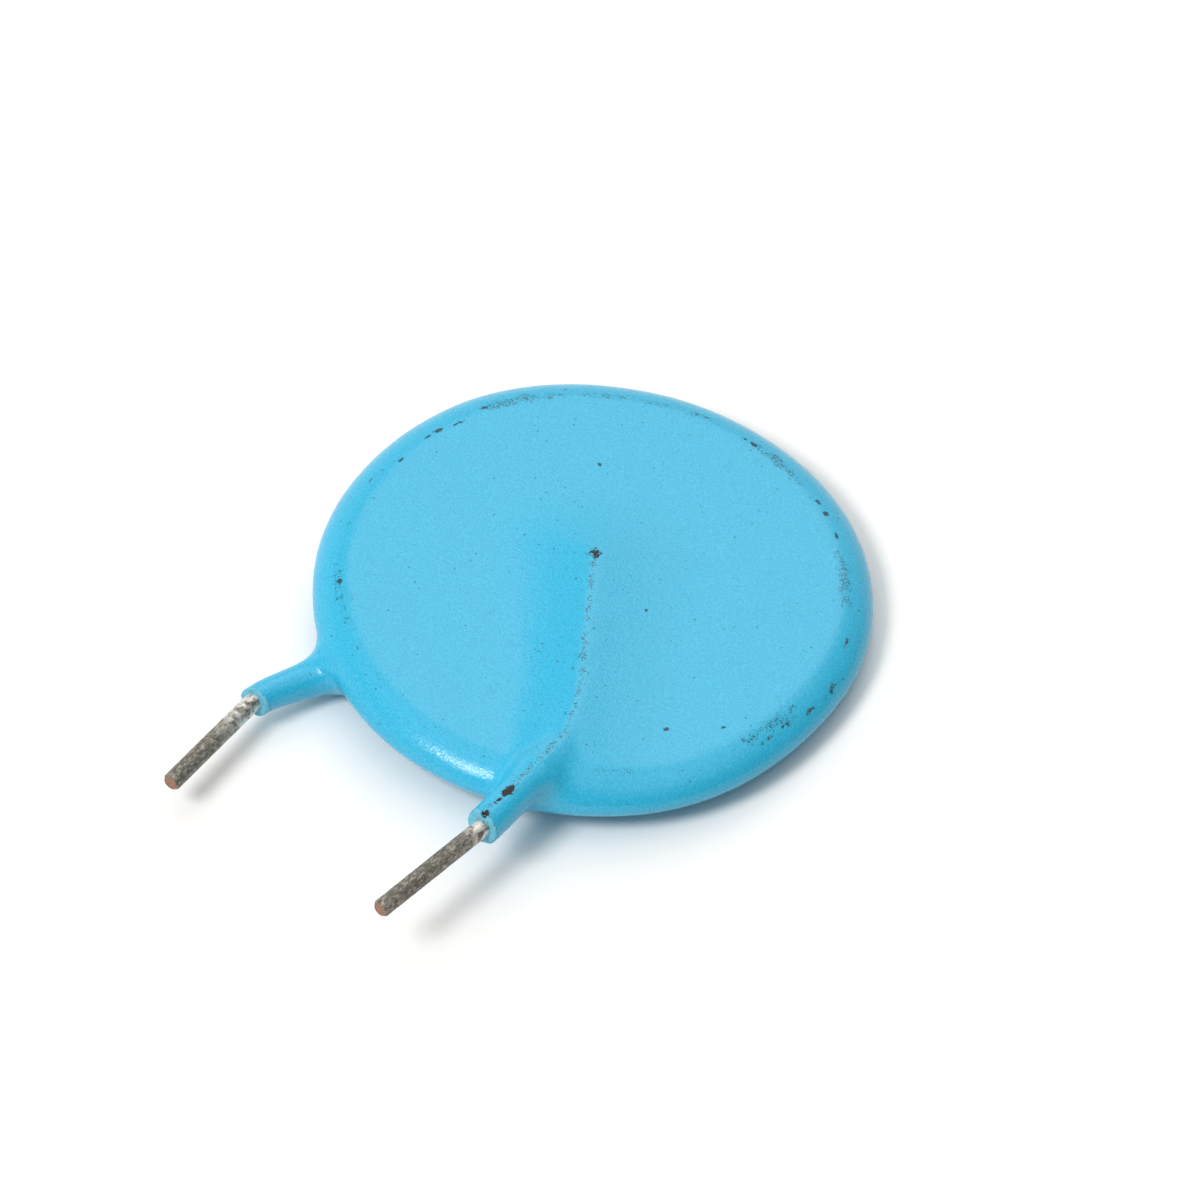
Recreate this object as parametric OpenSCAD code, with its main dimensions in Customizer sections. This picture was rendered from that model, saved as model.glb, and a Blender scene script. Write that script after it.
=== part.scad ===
// Radial-lead disc varistor, 32 mm ceramic size, lying on its rear face.
// A zinc oxide disc with a silver electrode fired on each face, a tinned copper lead soldered
// across each electrode, and an epoxy coat dipped over the lot and a short way down both leads.
// +Z is up, the cut leads point along -Y, and the leads have been cut short in use.

/* [Ceramic and electrodes] */
// Diameter of the ceramic disc
ceramic_d = 32; // [26:0.5:40]
// Thickness of the ceramic disc, which sets the clamping voltage
ceramic_t = 1.9; // [1.4:0.1:4]
// Chamfer round the ceramic disc's edges
ceramic_chamfer = 0.3; // [0.1:0.05:0.5]
// Width of bare ceramic left between the electrode and the edge
electrode_margin = 1; // [0.6:0.1:3]
// Thickness of each fired silver electrode
electrode_t = 0.05; // [0.03:0.01:0.12]

/* [Epoxy coat] */
// Coat over the electrodes
face_coat = 0.65; // [0.45:0.05:1.2]
// Coat outside the ceramic disc's edge
rim_coat = 1.5; // [1.1:0.1:2.5]
// Width of the rounding from the flat face out to the rim
rim_round = 1.9; // [1.6:0.1:2.4]
// Coat over the crest of a soldered lead, thin where the disc has rubbed
crest_coat = 0.15; // [0.1:0.05:0.5]
// Coat round the front lead where it leaves the rim
front_root_coat = 0.7; // [0.6:0.05:1.2]
// Coat round the rear lead where it leaves the rim, a thick drip that the disc lies on
rear_root_coat = 1.25; // [1:0.05:1.5]
// Coat round the front lead at its broken mouth
front_mouth_coat = 0.58; // [0.3:0.02:0.8]
// Coat round the rear lead at its broken mouth
rear_mouth_coat = 0.43; // [0.3:0.02:0.8]
// Half width of the mound that the coat makes round a lead's inner end
mound_reach = 4.6; // [3:0.1:6]
// Half width of the mound at a lead's bend
mound_neck = 2.6; // [1.6:0.1:3.4]
// How much wider than the coat round a lead the fillet at the rim spreads
root_flare = 0.4; // [0.1:0.05:0.6]
// Slant of the broken mouths, which face a little upwards
mouth_slant = 12; // [0:1:25]

/* [Leads] */
// Diameter of the lead wire
wire_d = 1.2; // [0.8:0.05:1.4]
// Bend radius of the leads at the middle of the wire
wire_bend = 3; // [2:0.1:4]
// How much fuller a bend is than the straight wire, on the radius
bend_swell = 0.02; // [0.01:0.005:0.03]
// How far each lead runs on past the disc's middle
lead_past_middle = 1.7; // [0.5:0.1:4]
// Angle of the front lead on the disc, from the direction of its cut end
front_splay = 34; // [20:1:40]
// Angle of the rear lead on the disc, from the direction of its cut end
rear_splay = 34; // [20:1:40]
// Distance in from the rim to the front lead's bend
front_bend_inset = 4.5; // [3:0.1:6]
// Distance in from the rim to the rear lead's bend
rear_bend_inset = 2.2; // [1.9:0.1:4]
// Distance of the front lead's mouth to the side of the disc's middle
front_offset = 7.8; // [6:0.1:10]
// Distance of the rear lead's mouth to the side of the disc's middle
rear_offset = 11; // [9:0.1:13]
// How far the front sleeve of coat reaches beyond the disc
front_sleeve = 3; // [2:0.1:6]
// How far the rear sleeve of coat reaches beyond the disc
rear_sleeve = 2.4; // [2:0.1:6]
// Distance from the front mouth back to the middle of the front lead's second bend
front_kink = 0; // [0:0.05:0.6]
// Distance from the rear mouth back to the middle of the rear lead's second bend
rear_kink = 0.4; // [0:0.05:0.6]
// Bare length of the front lead
front_bare = 9.5; // [3:0.5:30]
// Bare length of the rear lead
rear_bare = 8.7; // [3:0.5:30]
// Angle by which each bare end leans in towards the other
toe_in = 3; // [0:0.5:6]
// How far the rear lead turns back towards the disc's middle plane beyond the rim
rear_rise = 0.55; // [0.2:0.05:0.8]

/* [Solder] */
// Width of each solder bead at its foot
bead_w = 2.6; // [2:0.1:4]
// Height of each solder bead on its electrode
bead_h = 0.75; // [0.5:0.05:1]
// Distance from the electrode's edge back to the end of the bead
bead_inset = 4; // [3:0.5:8]
// Film of solder left between each lead and its electrode
solder_film = 0.05; // [0.03:0.01:0.1]

/* [Hidden] */

$fn = 64;
hull_fn = 24;         // sides of the spheres and discs inside a hull
rim_steps = 8;        // straight steps in a quarter of the rim's rounding
bend_overlap = 0.15;  // how far a straight bar runs on inside the fuller bend
seam = 0.03;          // step between two stretches of mound, so that one holds the other's end
foot_t = 0.3;         // thickness of the disc at a mound's foot
foot_sink = 0.2;      // depth of that disc's middle below the coated face
front = 1;            // side of the disc that faces up
rear = -1;            // side of the disc that lies on the table

ceramic_r = ceramic_d / 2;
electrode_r = ceramic_r - electrode_margin;
wire_r = wire_d / 2;
half_core = ceramic_t / 2 + electrode_t;
half_t = half_core + face_coat;
disc_r = ceramic_r + rim_coat;
flat_r = disc_r - rim_round;

crest_r = wire_r + crest_coat;
root_reach = disc_r - rim_round / 2;
root_foot = half_t / 3;  // height of a mound's foot on the rounding of the rim
lead_z = half_core + solder_film + wire_r;

// Each lead's own sizes, in the order in which lead_path() reads them:
// side, splay, bend reach, mouth offset, mouth distance, bare length, rise, root and mouth radius,
// distance of the second bend from the mouth
FRONT = [front, front_splay, disc_r - front_bend_inset, front_offset, disc_r + front_sleeve,
         front_bare, 0, wire_r + front_root_coat, wire_r + front_mouth_coat, front_kink];
REAR = [rear, rear_splay, disc_r - rear_bend_inset, rear_offset, disc_r + rear_sleeve,
        rear_bare, rear_rise, wire_r + rear_root_coat, wire_r + rear_mouth_coat, rear_kink];

function side_of(lead) = lead[0];
function reach_of(lead) = lead[2];
function root_r_of(lead) = lead[7];
function mouth_r_of(lead) = lead[8];
function kink_of(lead) = lead[9];

function unit(v) = v / norm(v);
function angle_between(a, b) = acos(unit(a) * unit(b));

// Direction in the disc's plane, as an angle from -Y, positive towards +X
function heading(angle) = [sin(angle), -cos(angle), 0];

// Corners of a lead: inner end, bend on the disc, second bend at the mouth, cut tip
function lead_path(lead) =
    let (side = side_of(lead),
         run = heading(side * lead[1]),
         out = heading(-side * toe_in),
         at_disc = [0, 0, side * lead_z],
         mouth = [side * lead[3], -lead[4], side * (lead_z - lead[6])])
    [at_disc - lead_past_middle * run, at_disc + reach_of(lead) * run,
     mouth - kink_of(lead) * out, mouth + lead[5] * out];

// Middle of the wire where the broken coat ends
function mouth_of(lead) =
    let (path = lead_path(lead))
    path[2] + kink_of(lead) * unit(path[3] - path[2]);

// Distance along a run from point p until it lies at radius r from the disc's axis
function run_to_radius(p, run, r) =
    let (flat_p = [p[0], p[1]],
         flat_run = [run[0], run[1]],
         a = flat_run * flat_run,
         b = flat_p * flat_run,
         c = flat_p * flat_p - r * r)
    (-b + sqrt(b * b - a * c)) / a;

// Middle of the wire where it crosses the rounding of the rim
function root_of(path) =
    let (run = unit(path[2] - path[1]))
    path[1] + run_to_radius(path[1], run, root_reach) * run;

// Length that a bend takes from the straight on each side of corner i
function setback(path, i) =
    i <= 0 || i >= len(path) - 1 ? 0 :
    wire_bend * tan(angle_between(path[i] - path[i - 1], path[i + 1] - path[i]) / 2);

// Distance from corner i to the end of the straight bar, which runs on inside the bend
function bar_end(path, i) = max(0, setback(path, i) - bend_overlap);

// The disc lies on the thick root of its rear lead and on the rim opposite
REAR_ROOT = root_of(lead_path(REAR));
root_drop = root_r_of(REAR) - REAR_ROOT[2] - half_t;
root_distance = norm([REAR_ROOT[0], REAR_ROOT[1]]);
rest_tilt = asin(root_drop / (root_distance + flat_r));
rest_axis = cross([0, 0, 1], unit([-REAR_ROOT[0], -REAR_ROOT[1], 0]));
rest_height = half_t + flat_r * sin(rest_tilt);
// The disc's middle stands forward of the origin, which is below the middle of the whole part
disc_y = (front_sleeve + front_bare) / 2;

// Puts a piece that is drawn round the disc's middle where it lies at rest
module at_rest() {
    translate([0, disc_y, rest_height])
        rotate(a = rest_tilt, v = rest_axis)
            children();
}

// Turns +Z to the direction d, at point p
module point_along(p, d) {
    translate(p)
        rotate([0, acos(unit(d)[2]), atan2(d[1], d[0])])
            children();
}

// Straight round bar from p to q
module bar(p, q, r1, r2) {
    point_along(p, q - p)
        cylinder(h = norm(q - p), r1 = r1, r2 = r2);
}

// Quarter-or-less round bend at corner i of a path, for a bar of radius r
module elbow(path, i, r) {
    d1 = unit(path[i] - path[i - 1]);
    d2 = unit(path[i + 1] - path[i]);
    normal = unit(cross(d1, d2));
    inward = cross(normal, d1);
    centre = path[i] - setback(path, i) * d1 + wire_bend * inward;
    multmatrix([
        [-inward[0], d1[0], normal[0], centre[0]],
        [-inward[1], d1[1], normal[1], centre[1]],
        [-inward[2], d1[2], normal[2], centre[2]],
        [0, 0, 0, 1]
    ])
        rotate_extrude(angle = angle_between(d1, d2))
            translate([wire_bend, 0])
                circle(r = r + bend_swell);
}

// Bent round bar that follows a path from its first corner to its last
module bent_bar(path, r) {
    for (i = [1 : len(path) - 1]) {
        run = unit(path[i] - path[i - 1]);
        bar(path[i - 1] + bar_end(path, i - 1) * run, path[i] - bar_end(path, i) * run, r, r);
    }
    for (i = [1 : len(path) - 2])
        elbow(path, i, r);
}

// Outside of the coated disc: flat faces and a rounded rim
module disc_form() {
    quarter = [for (k = [0 : rim_steps]) 90 - 90 * k / rim_steps];
    upper = [for (a = quarter) [flat_r + rim_round * cos(a), half_t * sin(a)]];
    lower = [for (k = [1 : rim_steps]) [upper[rim_steps - k][0], -upper[rim_steps - k][1]]];
    rotate_extrude()
        polygon(concat([[0, -half_t], [0, half_t]], upper, lower));
}

// Foot of the mound at a point: a thin disc just under the coated face
module mound_foot(p, side, r, level) {
    translate([p[0], p[1], side * level])
        cylinder(h = foot_t, r = r, center = true, $fn = hull_fn);
}

module knob(p, r) {
    translate(p)
        sphere(r = r, $fn = hull_fn);
}

// Relief over a lead: a low tent on the disc that closes up round the wire at the rim
module mound(lead) {
    path = lead_path(lead);
    side = side_of(lead);
    root = root_of(path);
    root_r = root_r_of(lead);
    foot_level = half_t - foot_sink;
    neck_r = max(crest_r, min(mound_neck, flat_r - reach_of(lead)));
    hull() {
        knob(path[0], crest_r);
        mound_foot(path[0], side, mound_reach, foot_level);
        knob(path[1], crest_r);
        mound_foot(path[1], side, neck_r, foot_level);
    }
    hull() {
        knob(path[1], crest_r + seam);
        mound_foot(path[1], side, neck_r + seam, foot_level - seam);
        knob(root, root_r);
        mound_foot(root, side, root_r + root_flare, root_foot);
    }
}

// Sleeve of coat from the rim out to its broken mouth
module sleeve(lead) {
    path = lead_path(lead);
    mouth_r = mouth_r_of(lead);
    start_r = (root_r_of(lead) + mouth_r) / 2;
    run = unit(path[2] - path[1]);
    out = unit(path[3] - path[2]);
    difference() {
        union() {
            bar(root_of(path), path[2] - bar_end(path, 2) * run, start_r, mouth_r);
            elbow(path, 2, mouth_r);
            bar(path[2] + bar_end(path, 2) * out, path[2] + 2 * mouth_r * out, mouth_r, mouth_r);
        }
        broken_end(mouth_of(lead), out, mouth_r);
    }
}

// What has broken off beyond a mouth
module broken_end(mouth, out, mouth_r) {
    size = 4 * (2 * mouth_r);
    point_along(mouth, out)
        rotate([0, -mouth_slant, 0])
            translate([-size / 2, -size / 2, 0])
                cube([size, size, size]);
}

module ceramic_form() {
    full = ceramic_t / 2;
    edge = full - ceramic_chamfer;
    rotate_extrude()
        polygon([
            [0, -full], [ceramic_r - ceramic_chamfer, -full], [ceramic_r, -edge],
            [ceramic_r, edge], [ceramic_r - ceramic_chamfer, full], [0, full]
        ]);
}

module electrode_form(side) {
    translate([0, 0, side * (half_core - electrode_t / 2)])
        cylinder(h = electrode_t, r = electrode_r, center = true);
}

// Solder bead with sloping sides along the inner run of a lead
module bead_form(lead) {
    path = lead_path(lead);
    side = side_of(lead);
    run = unit(path[1] - path[0]);
    half_w = bead_w / 2;
    start = path[0];
    finish = [0, 0, path[0][2]] + (electrode_r - bead_inset) * run;
    hull()
        for (p = [start, finish])
            translate([p[0], p[1], side * half_core])
                mirror([0, 0, side < 0 ? 1 : 0])
                    cylinder(h = bead_h, r1 = half_w, r2 = (half_w + wire_r) / 2, $fn = hull_fn);
}

module lead_form(lead) {
    bent_bar(lead_path(lead), wire_r);
}

module coating() {
    color("deepskyblue")
        at_rest()
            difference() {
                union() {
                    disc_form();
                    mound(FRONT);
                    mound(REAR);
                    sleeve(FRONT);
                    sleeve(REAR);
                }
                ceramic_form();
                electrode_form(front);
                electrode_form(rear);
                bead_form(FRONT);
                bead_form(REAR);
                lead_form(FRONT);
                lead_form(REAR);
            }
}

module ceramic_disc() {
    color("dimgray")
        at_rest()
            ceramic_form();
}

module electrode(side) {
    color("silver")
        at_rest()
            electrode_form(side);
}

module lead_wire(lead) {
    color("gray")
        at_rest()
            lead_form(lead);
}

module solder(lead) {
    color("lightgray")
        at_rest()
            difference() {
                bead_form(lead);
                lead_form(lead);
            }
}

coating();
ceramic_disc();
electrode(front);  // front_electrode
electrode(rear);  // rear_electrode
lead_wire(FRONT);  // front_lead
lead_wire(REAR);  // rear_lead
solder(FRONT);  // front_solder
solder(REAR);  // rear_solder
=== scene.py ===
import logging
import math
from dataclasses import dataclass
from enum import Enum

import bpy
import numpy as np
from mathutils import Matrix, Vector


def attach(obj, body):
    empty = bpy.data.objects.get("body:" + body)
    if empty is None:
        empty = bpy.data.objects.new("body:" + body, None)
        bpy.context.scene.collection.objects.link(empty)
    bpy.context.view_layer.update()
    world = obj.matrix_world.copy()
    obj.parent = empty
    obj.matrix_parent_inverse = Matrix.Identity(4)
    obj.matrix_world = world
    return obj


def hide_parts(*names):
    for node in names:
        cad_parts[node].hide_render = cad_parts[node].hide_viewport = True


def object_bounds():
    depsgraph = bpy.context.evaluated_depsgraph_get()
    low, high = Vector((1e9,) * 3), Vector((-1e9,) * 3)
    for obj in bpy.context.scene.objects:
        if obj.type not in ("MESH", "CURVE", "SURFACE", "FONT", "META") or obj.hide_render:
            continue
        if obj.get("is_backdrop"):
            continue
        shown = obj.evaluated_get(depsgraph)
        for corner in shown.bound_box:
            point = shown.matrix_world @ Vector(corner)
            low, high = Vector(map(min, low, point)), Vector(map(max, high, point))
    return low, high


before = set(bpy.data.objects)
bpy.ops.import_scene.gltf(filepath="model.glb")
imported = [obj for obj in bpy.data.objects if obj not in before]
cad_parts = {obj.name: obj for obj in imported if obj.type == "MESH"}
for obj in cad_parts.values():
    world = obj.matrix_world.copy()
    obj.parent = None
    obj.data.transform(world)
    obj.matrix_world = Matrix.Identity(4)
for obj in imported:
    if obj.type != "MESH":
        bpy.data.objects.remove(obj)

import openvdb
from mathutils import Vector

Array = np.ndarray
Material = bpy.types.Material
Object = bpy.types.Object
Socket = bpy.types.NodeSocket
Colour = tuple[float, float, float, float]
Pair = tuple[float, float]
Triple = tuple[float, float, float]

LOG = logging.getLogger("varistor")
MM = 0.001
UP = np.array([0.0, 0.0, 1.0])
SCALAR = "NodeSocketFloat"
WHOLE = "NodeSocketInt"
VECTOR = "NodeSocketVector"
SHAPE = "NodeSocketGeometry"

# Stages that the coat's ridge passes on its way along a lead
INNER_END, BEND, ROOT, NECK, PAST_MOUTH = range(5)


class Face(Enum):
    """The two faces of the disc, by the sign of their side."""

    FRONT = 1
    REAR = -1


def unit(v: Array) -> Array:
    """Returns v at length one."""
    return v / np.linalg.norm(v)


def heading(angle: float) -> Array:
    """Returns the direction in the disc's plane at an angle from -Y, in degrees."""
    a = math.radians(angle)
    return np.array([math.sin(a), -math.cos(a), 0.0])


def bell(x: Array, spread: float) -> Array:
    """Returns a soft bump that is 1 at 0 and dies away past the spread."""
    return np.exp(-((x / spread) ** 2))


def scale_of(size: float) -> float:
    """Returns a texture's scale from a size in millimetres."""
    return 1.0 / (size * MM)


def smooth_step(x: Array, low: float, high: float) -> Array:
    """Returns values eased from 0 at a low limit to 1 at a high one."""
    t = np.clip((x - low) / (high - low), 0.0, 1.0)
    return t * t * (3.0 - 2.0 * t)


def smooth_union(a: Array, b: Array, fillet: float) -> Array:
    """Returns two signed fields joined with a fillet of some reach."""
    h = np.clip(0.5 + 0.5 * (b - a) / fillet, 0.0, 1.0)
    return b * (1.0 - h) + a * h - fillet * h * (1.0 - h)


def nearest_on(p: Array, start: Array, end: Array) -> tuple[Array, Array]:
    """Finds where points are nearest to a straight stretch.

    Args:
        p: Points, one a row.
        start: First end of the stretch.
        end: Its other end.

    Returns:
        Each point's share of the stretch and its distance from it.
    """
    way = end - start
    s = np.clip((p - start) @ way / (way @ way), 0.0, 1.0)
    return s, np.linalg.norm(p - start - s[:, None] * way, axis=1)


@dataclass(frozen=True)
class Lobe:
    """A soft bump round a bearing in degrees, with its spread in radians."""

    size: float
    bearing: float
    spread: float

    def at(self, bearing: Array) -> Array:
        """Returns the bump at bearings in radians."""
        turn = np.angle(np.exp(1j * (bearing - math.radians(self.bearing))))
        return self.size * bell(turn, self.spread)


@dataclass(frozen=True)
class Ripple:
    """Smooth unevenness about 0, made from a few plane waves."""

    depth: float
    size: float
    seed: int
    waves: int = 14
    pitches: Pair = (0.7, 1.5)

    def at(self, p: Array, other: int = 0) -> Array:
        """Works out the ripple.

        Args:
            p: Points, one a row.
            other: Added to the seed for another of the same kind.

        Returns:
            One value for each point, mostly within the depth.
        """
        rng = np.random.default_rng(self.seed + other)
        way = rng.normal(size=(self.waves, 3))
        way /= np.linalg.norm(way, axis=1)[:, None]
        pitch = rng.uniform(*self.pitches, self.waves) * math.pi / self.size
        start = rng.uniform(0.0, 2.0 * math.pi, self.waves)
        total = np.zeros(len(p))
        for k in range(self.waves):
            total += np.sin(p @ (way[k] * pitch[k]) + start[k])
        return self.depth * (total / math.sqrt(self.waves))


@dataclass(frozen=True)
class LeadRun:
    """One lead's route round the disc's middle, in millimetres and degrees."""

    face: Face
    reach: float
    offset: float
    mouth_y: float
    bare: float
    rise: float
    kink: float
    root_r: float
    mouth_r: float
    splay: float = 34.0
    toe_in: float = 3.0
    mouth_slant: float = 8.0
    wire_r: float = 0.6
    lead_z: float = 1.65
    past_middle: float = 1.7
    root_reach: float = 16.55
    curve_points: int = 9
    curve_share: float = 0.9

    def corners(self) -> Array:
        """Returns the route's inner end, bend, neck and cut tip."""
        side = self.face.value
        run = heading(side * self.splay)
        at_disc = np.array([0.0, 0.0, side * self.lead_z])
        mouth = np.array([side * self.offset, -self.mouth_y, side * (self.lead_z - self.rise)])
        return np.array([
            at_disc - self.past_middle * run,
            at_disc + self.reach * run,
            mouth - self.kink * self.out(),
            mouth + self.bare * self.out(),
        ])

    def out(self) -> Array:
        """Returns the direction in which the cut end points."""
        return heading(-self.face.value * self.toe_in)

    def mouth(self) -> Array:
        """Returns the middle of the wire where the broken coat ends."""
        return self.corners()[2] + self.kink * self.out()

    def root(self) -> Array:
        """Returns the middle of the wire where it crosses the rim's rounding."""
        _, bend, neck, _ = self.corners()
        run = unit(neck - bend)
        a, b = run[:2] @ run[:2], bend[:2] @ run[:2]
        c = bend[:2] @ bend[:2] - self.root_reach ** 2
        return bend + (-b + math.sqrt(b * b - a * c)) / a * run

    def ridge(self, past: float, bend_ease: float, neck_ease: float) -> tuple[Array, Array]:
        """Follows the coat's ridge over the lead, with both bends eased into curves.

        Args:
            past: How far past the mouth the line runs on.
            bend_ease: Reach of the curve on each side of the bend on the disc.
            neck_ease: Reach of the curve on each side of the neck.

        Returns:
            Points of the line and their stages.
        """
        start, bend, neck, _ = self.corners()
        root = self.root()
        tail = self.mouth() + past * self.out()
        after = min(bend_ease, self.curve_share * np.linalg.norm(root - bend))
        t = np.linspace(0.0, 1.0, self.curve_points)[:, None]

        def curve(corner: Array, before: Array, behind: Array) -> Array:
            """Rounds one corner with a parabola between two points."""
            return (1 - t) ** 2 * before + 2 * t * (1 - t) * corner + t ** 2 * behind

        first = curve(bend, bend + bend_ease * unit(start - bend), bend + after * unit(root - bend))
        second = curve(neck, neck + neck_ease * unit(root - neck), neck + neck_ease * unit(tail - neck))
        line = np.vstack([start, first, root, second, tail])
        run = np.concatenate([[0.0], np.cumsum(np.linalg.norm(np.diff(line, axis=0), axis=1))])
        stages = np.arange(PAST_MOUTH + 1)
        return line, np.interp(run, run[stages * (self.curve_points + 1) // 2], stages)


@dataclass(frozen=True)
class RestPose:
    """How the disc lies: it leans on the thick root of its rear lead."""

    tilt: float
    axis: Triple
    centre: Triple

    def matrix(self) -> Array:
        """Returns the turn from the disc's own frame to the row frame."""
        k = unit(np.array(self.axis))
        c, s = math.cos(math.radians(self.tilt)), math.sin(math.radians(self.tilt))
        cross = np.array([[0, -k[2], k[1]], [k[2], 0, -k[0]], [-k[1], k[0], 0]])
        return c * np.eye(3) + s * cross + (1 - c) * np.outer(k, k)

    def place(self, p: Array) -> Array:
        """Returns points in millimetres round the disc's middle in the row frame, in metres."""
        return (p @ self.matrix().T + np.array(self.centre)) * MM


FRONT_RUN = LeadRun(
    Face.FRONT, reach=13.0, offset=7.8, mouth_y=20.5, bare=9.5, rise=0.0, kink=0.0, root_r=1.2, mouth_r=1.18,
)
REAR_RUN = LeadRun(
    Face.REAR, reach=15.3, offset=11.0, mouth_y=19.9, bare=8.7, rise=0.55, kink=0.4, root_r=1.4, mouth_r=1.02,
)
AT_REST = RestPose(tilt=3.12462, axis=(-0.839485, 0.543383, 0.0), centre=(0.0, 6.25, 2.50032))


def new_object(name: str, data: bpy.types.ID) -> Object:
    """Returns a new object that shows the data, linked to the scene."""
    obj = bpy.data.objects.new(name, data)
    bpy.context.scene.collection.objects.link(obj)
    return obj


def mesh_object(name: str, points: Array, faces: list | Array) -> Object:
    """Makes a smooth shaded mesh object at the origin.

    Args:
        name: Name of the object.
        points: Points in metres, one a row.
        faces: Corner numbers of the faces.

    Returns:
        The new object.
    """
    mesh = bpy.data.meshes.new(name)
    mesh.from_pydata(points.tolist(), [], np.asarray(faces).tolist())
    mesh.validate()
    mesh.polygons.foreach_set("use_smooth", [True] * len(mesh.polygons))
    mesh.update()
    return new_object(name, mesh)


def store(obj: Object, name: str, values: Array) -> None:
    """Stores one value for each point of a mesh as an attribute."""
    layer = obj.data.attributes.new(name, "FLOAT", "POINT")
    layer.data.foreach_set("value", values.astype(np.float32))


@dataclass(frozen=True)
class Grain:
    """A noise pattern: its size in millimetres, its finer octaves and the values it fades in between."""

    size: float
    detail: float = 2.0
    rough: float = 0.5
    fade: Pair = (0.0, 1.0)


class Graph:
    """Short hand for building a node tree."""

    def __init__(self, tree: bpy.types.NodeTree) -> None:
        """Keeps the tree that the nodes go into."""
        self.tree = tree

    def fill(self, node: bpy.types.Node, feeds: dict[str | int, object]) -> None:
        """Links sockets into a node's inputs, or sets plain values on them.

        Args:
            node: The node.
            feeds: Sockets and values by input name or number.
        """
        for key, value in feeds.items():
            if isinstance(value, Socket):
                self.tree.links.new(value, node.inputs[key])
            else:
                node.inputs[key].default_value = value

    def out(self, kind: str, output: str | int, feeds: dict | None = None, **settings: object) -> Socket:
        """Adds a node and gives one of its outputs.

        Args:
            kind: Blender's name of the node type.
            output: Name or number of the output.
            feeds: Sockets and values by input name or number.
            settings: Properties of the node.

        Returns:
            The output's socket.
        """
        node = self.tree.nodes.new(kind)
        for key, value in settings.items():
            setattr(node, key, value)
        self.fill(node, feeds or {})
        return node.outputs[output]

    def math(self, operation: str, a: object, b: object, clamp: bool = False) -> Socket:
        """Returns a Math node's result, kept between 0 and 1 if clamped."""
        return self.out("ShaderNodeMath", 0, {0: a, 1: b}, operation=operation, use_clamp=clamp)

    def times(self, a: object, b: object, clamp: bool = False) -> Socket:
        """Returns a times b."""
        return self.math("MULTIPLY", a, b, clamp)

    def plus(self, a: object, b: object) -> Socket:
        """Returns a plus b."""
        return self.math("ADD", a, b)

    def minus(self, a: object, b: object) -> Socket:
        """Returns a minus b."""
        return self.math("SUBTRACT", a, b)

    def ramp(self, value: object, fade: Pair, ends: Pair = (0.0, 1.0)) -> Socket:
        """Returns a value eased from one end to the other over a fade."""
        feeds = dict(enumerate((value, *fade, *ends)))
        return self.out("ShaderNodeMapRange", 0, feeds, interpolation_type="SMOOTHSTEP")

    def mix(self, share: object, a: object, b: object) -> Socket:
        """Returns colour a with a share of colour b."""
        return self.out("ShaderNodeMix", 2, {0: share, 6: a, 7: b}, data_type="RGBA")

    def noise(self, where: Socket, grain: Grain) -> Socket:
        """Returns the noise of a grain at coordinates in metres."""
        feeds = {"Scale": scale_of(grain.size), "Detail": grain.detail, "Roughness": grain.rough}
        return self.out("ShaderNodeTexNoise", "Fac", {"Vector": where, **feeds})

    def patches(self, where: Socket, grain: Grain, most: float = 1.0) -> Socket:
        """Returns the noise of a grain, brought in from 0 to a most over its fade."""
        return self.ramp(self.noise(where, grain), grain.fade, (0.0, most))

    def attribute(self, name: str) -> Socket:
        """Reads a value attribute of the mesh."""
        return self.out("ShaderNodeAttribute", "Fac", attribute_name=name)

    def bump(self, height: Socket, strength: float, depth: float) -> Socket:
        """Returns the normal of a height of some depth in millimetres."""
        feeds = {"Height": height, "Strength": strength, "Distance": depth * MM}
        return self.out("ShaderNodeBump", "Normal", feeds)


def new_group(name: str, kind: str, inputs: dict, outputs: dict) -> tuple[Graph, dict, bpy.types.Node]:
    """Starts a node group with named sockets.

    Args:
        name: Name of the group.
        kind: Blender's name of the tree type.
        inputs: Input names with their socket types.
        outputs: Output names with their socket types.

    Returns:
        The graph, its inputs by name and its output node.
    """
    tree = bpy.data.node_groups.new(name, kind)
    for way, sockets in (("INPUT", inputs), ("OUTPUT", outputs)):
        for label, socket_type in sockets.items():
            tree.interface.new_socket(label, in_out=way, socket_type=socket_type)
    given = tree.nodes.new("NodeGroupInput").outputs
    return Graph(tree), {label: given[label] for label in inputs}, tree.nodes.new("NodeGroupOutput")


def new_material(name: str) -> tuple[Material, Graph, bpy.types.Node, Socket]:
    """Starts a material with a Principled shader.

    Args:
        name: Name of the material.

    Returns:
        The material, its graph, its shader and its Object coordinates.
    """
    material = bpy.data.materials.new(name)
    material.use_nodes = True
    graph = Graph(material.node_tree)
    shader = material.node_tree.nodes["Principled BSDF"]
    return material, graph, shader, graph.out("ShaderNodeTexCoord", "Object")


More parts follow.
